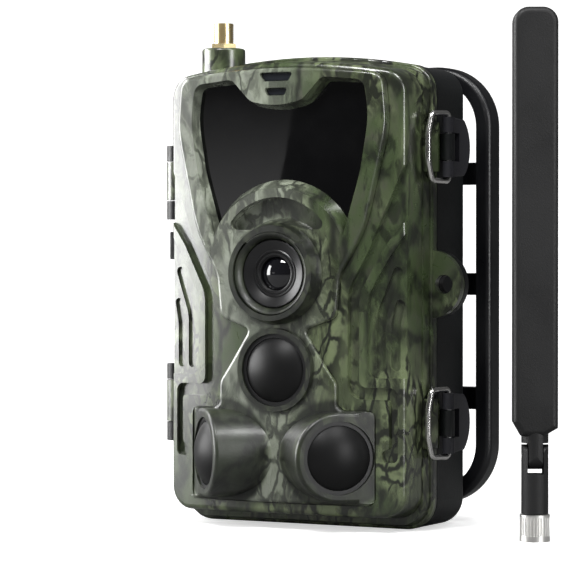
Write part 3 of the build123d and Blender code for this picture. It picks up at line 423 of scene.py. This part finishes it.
def motion_window(node, turn):
    """Domed window turned in place of a frame piece that looks out, turn radians round the case."""
    out = Vector((math.sin(turn), -math.cos(turn), 0))
    aside = Vector((math.cos(turn), math.sin(turn), 0))
    corners = [Vector(vertex.co) for vertex in nodes[node].data.vertices]
    ahead = [corner.dot(out) for corner in corners]
    across = [corner.dot(aside) for corner in corners]
    low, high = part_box(node)
    flange = (max(across) - min(across)) / 2 / MM
    rim, length = flange - WINDOW_LEDGE, (max(ahead) - min(ahead)) / MM
    edge = WINDOW_SPHERE - math.sqrt(WINDOW_SPHERE ** 2 - rim ** 2)
    seat = length - WINDOW_FLANGE
    outline = [(0.0, length), (flange, length), (flange, seat), (rim, seat)]
    for step in range(WINDOW_RINGS + 1):
        radius = rim * (1 - step / WINDOW_RINGS)
        outline.append((radius, WINDOW_SPHERE - math.sqrt(WINDOW_SPHERE ** 2 - radius ** 2)))
    apex = out * max(ahead) + aside * (max(across) + min(across)) / 2
    apex.z = (low[2] + high[2]) / 2
    dome = turned(node.replace("pir", "motion") + "_dome", outline, apex, "front_half", dome_black, turn=turn)
    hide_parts(node)
    print(dome.name, "rim", round(rim, 2), "edge", round(edge, 2), "length", round(length, 2))


motion_window("pir_window_centre", 0.0)
motion_window("pir_window_left", math.radians(-45))
motion_window("pir_window_right", math.radians(45))

# %% [markdown]
# ## Metals
# Bright wire is drawn and tumbled, the connector is gold-plated brass, and the aerial's nut is nickel.
# A metal needs very little colour of its own: what shows is the studio. Fine scratches along the part
# and a little tarnish in the roughness keep it from looking like a mirror ball.


# %% Metals
def metal(title, colour, rough, stretch, tarnish):
    """Metal with drawn scratches; stretch squeezes the pattern across the scratches."""
    f = Finish(title)
    scratches = f.noise(700, 4, 0.7, f.place(stretch=stretch))
    dull = f.noise(120, 4, 0.6).ramp(0.4, 0.75)
    darker = tuple(c * 0.55 for c in colour)
    f.set(Metallic=1.0, Base_Color=f.mix(dull * tarnish, colour, darker),
          Roughness=rough + 0.14 * scratches + 0.12 * dull)
    f.bump(scratches, 0.000012)
    return f


bright_wire = metal("bright wire", (0.74, 0.73, 0.71), 0.10, (1, 1, 0.1), 0.35)
gold = metal("gold-plated brass", (0.98, 0.80, 0.44), 0.22, (1, 1, 2), 0.25)
nickel = metal("nickel plate", (0.93, 0.92, 0.89), 0.24, (1, 1, 0.2), 0.25)
steel = metal("plated steel", (0.52, 0.52, 0.53), 0.25, (1, 1, 0.3), 0.4)
dress(bright_wire, "latch_bail_upper", "latch_bail_lower")
dress(gold, "aerial_connector", "tripod_bush")
dress(nickel, "aerial_nut")
dress(steel, "hinge_pins", "latch_pins", "bracket_screws", "cover_screws", "aerial_pin", "battery_contacts",
      "power_jack", "pir_sensors", "usb_port", "card_slot")
print("metal finishes: 4")

# %% [markdown]
# ## Circuit boards
# Solder mask is a green lacquer over copper. The copper tracks show through as slightly lighter
# rectangles, which a brick pattern can suggest at this size.


# %% Boards
def laminate(title):
    f = Finish(title)
    tracks = f.add("TexBrick", None, {"Vector": f.place(), "Scale": 220.0,
                                      "Mortar Size": 0.03}, out="Fac")
    f.set(Base_Color=f.mix(tracks, (0.006, 0.055, 0.022), (0.012, 0.10, 0.045)),
          Roughness=0.35 + 0.1 * f.noise(300))
    f.bump(tracks, 0.00003)
    return f


board_green = laminate("solder mask")
dress(board_green, "main_board", "ir_led_board", "image_sensor_board")
print("boards dressed")

# %% [markdown]
# ## The studio
# A dark glossy object is drawn by what it reflects, so the room is kept dim and a few large soft lights
# do the drawing: a tall one on the left for the bright flank, two above that show as round glints in the
# lens, and a narrow one on the right for the edges. The air is white only where the camera looks straight
# at it, which the Light Path node knows, and a white floor curves up behind.


# %% Floor
SWEEP_STEPS = 12


def backdrop(width, near, depth, height, radius):
    """A floor that curves up into a wall."""
    profile = [(-near, 0.0), (depth - radius, 0.0)]
    for step in range(1, SWEEP_STEPS + 1):
        angle = math.pi / 2 * step / SWEEP_STEPS
        profile.append((depth - radius + radius * math.sin(angle), radius - radius * math.cos(angle)))
    profile.append((depth, height))
    mesh = bpy.data.meshes.new("backdrop")
    verts = [(side * width, y, z) for y, z in profile for side in (-1, 1)]
    faces = [(2 * i, 2 * i + 1, 2 * i + 3, 2 * i + 2) for i in range(len(profile) - 1)]
    mesh.from_pydata(verts, [], faces)
    mesh.shade_smooth()
    sheet = bpy.data.objects.new("backdrop", mesh)
    sheet.rotation_euler = (0, 0, VIEW_TURN)
    bpy.context.scene.collection.objects.link(sheet)
    paper = Finish("studio paper")
    paper.set(Base_Color=(0.9, 0.9, 0.9, 1.0), Roughness=0.30 + 0.05 * paper.noise(3),
              Emission_Color=(1.0, 1.0, 1.0, 1.0), Emission_Strength=0.55)
    dim = paper.add("BsdfDiffuse", None, {"Color": (0.20, 0.20, 0.20, 1.0)})
    seen = paper.add("LightPath", out="Is Camera Ray")
    output = next(n for n in paper.tree.nodes if n.type == "OUTPUT_MATERIAL")
    both = paper.add("MixShader", None, {0: seen, 1: dim, 2: Wire(paper, paper.surface.outputs[0])})
    paper.tree.links.new(both.socket, output.inputs[0])
    mesh.materials.append(paper.material)


backdrop(width=1.6, near=1.6, depth=1.3, height=1.6, radius=0.7)


# %% Lights
def soft_light(name, turn, rise, distance, size, glow):
    """A soft light at an angle round the case and a height angle, both in degrees; glow is its radiance."""
    turn, rise = math.radians(turn), math.radians(rise)
    out = Vector((math.sin(turn) * math.cos(rise), -math.cos(turn) * math.cos(rise), math.sin(rise)))
    lamp = bpy.data.lights.new(name, "AREA")
    lamp.shape = "RECTANGLE"
    lamp.size, lamp.size_y = size
    lamp.energy = glow * math.pi * size[0] * size[1]
    stand = bpy.data.objects.new(name, lamp)
    stand.location = LOOK_AT + out * distance
    stand.rotation_euler = out.to_track_quat("Z", "Y").to_euler()
    bpy.context.scene.collection.objects.link(stand)


soft_light("left key", -71, 4, 1.0, (0.75, 0.75), 11)
soft_light("high left", -95, 32, 1.0, (0.30, 0.24), 22)
soft_light("high front", 2, 52, 1.0, (0.32, 0.26), 32)
soft_light("high right", 64, 54, 1.0, (0.24, 0.24), 30)
soft_light("right strip", 72, 2, 1.0, (0.28, 0.9), 10)


# %% A grey card for the panel
def glow_card(turn, distance, width, low, high, lean, glow):
    """A card that glows at its foot and fades upward, seen only as a soft sheen in the black panel."""
    mesh = bpy.data.meshes.new("grey_card")
    mesh.from_pydata([(-width, 0, low), (0, 0, low), (lean, 0, high), (-width, 0, high)], [], [(0, 1, 2, 3)])
    card = bpy.data.objects.new("grey_card", mesh)
    turn = math.radians(turn)
    card.location = (LOOK_AT.x + math.sin(turn) * distance, LOOK_AT.y - math.cos(turn) * distance, 0)
    card.rotation_euler = (0, 0, turn)
    bpy.context.scene.collection.objects.link(card)
    f = Finish("grey card")
    height = f.add("SeparateXYZ", None, {0: f.place()}, out="Z")
    f.set(Base_Color=(0.02, 0.02, 0.02, 1.0), Emission_Color=(1.0, 1.0, 1.0, 1.0))
    f.set(Emission_Strength=glow * (1 - height.ramp(low, high)))
    mesh.materials.append(f.material)


glow_card(-28.5, 1.5, 0.30, 0.08, 0.27, 0.035, 1.1)

# %% Air
AIR_FOR_REFLECTIONS = 0.09
AIR_FOR_THE_CAMERA = 1.0

world = bpy.data.worlds.new("studio air")
world.use_nodes = True
air = world.node_tree.nodes["Background"]
seen = world.node_tree.nodes.new("ShaderNodeLightPath")
brightness = world.node_tree.nodes.new("ShaderNodeMapRange")
brightness.inputs["To Min"].default_value = AIR_FOR_REFLECTIONS
brightness.inputs["To Max"].default_value = AIR_FOR_THE_CAMERA
world.node_tree.links.new(seen.outputs["Is Camera Ray"], brightness.inputs["Value"])
world.node_tree.links.new(brightness.outputs[0], air.inputs["Strength"])
air.inputs["Color"].default_value = (1.0, 1.0, 1.0, 1.0)
bpy.context.scene.world = world
bpy.context.scene.view_settings.view_transform = "Standard"
print("studio lit")
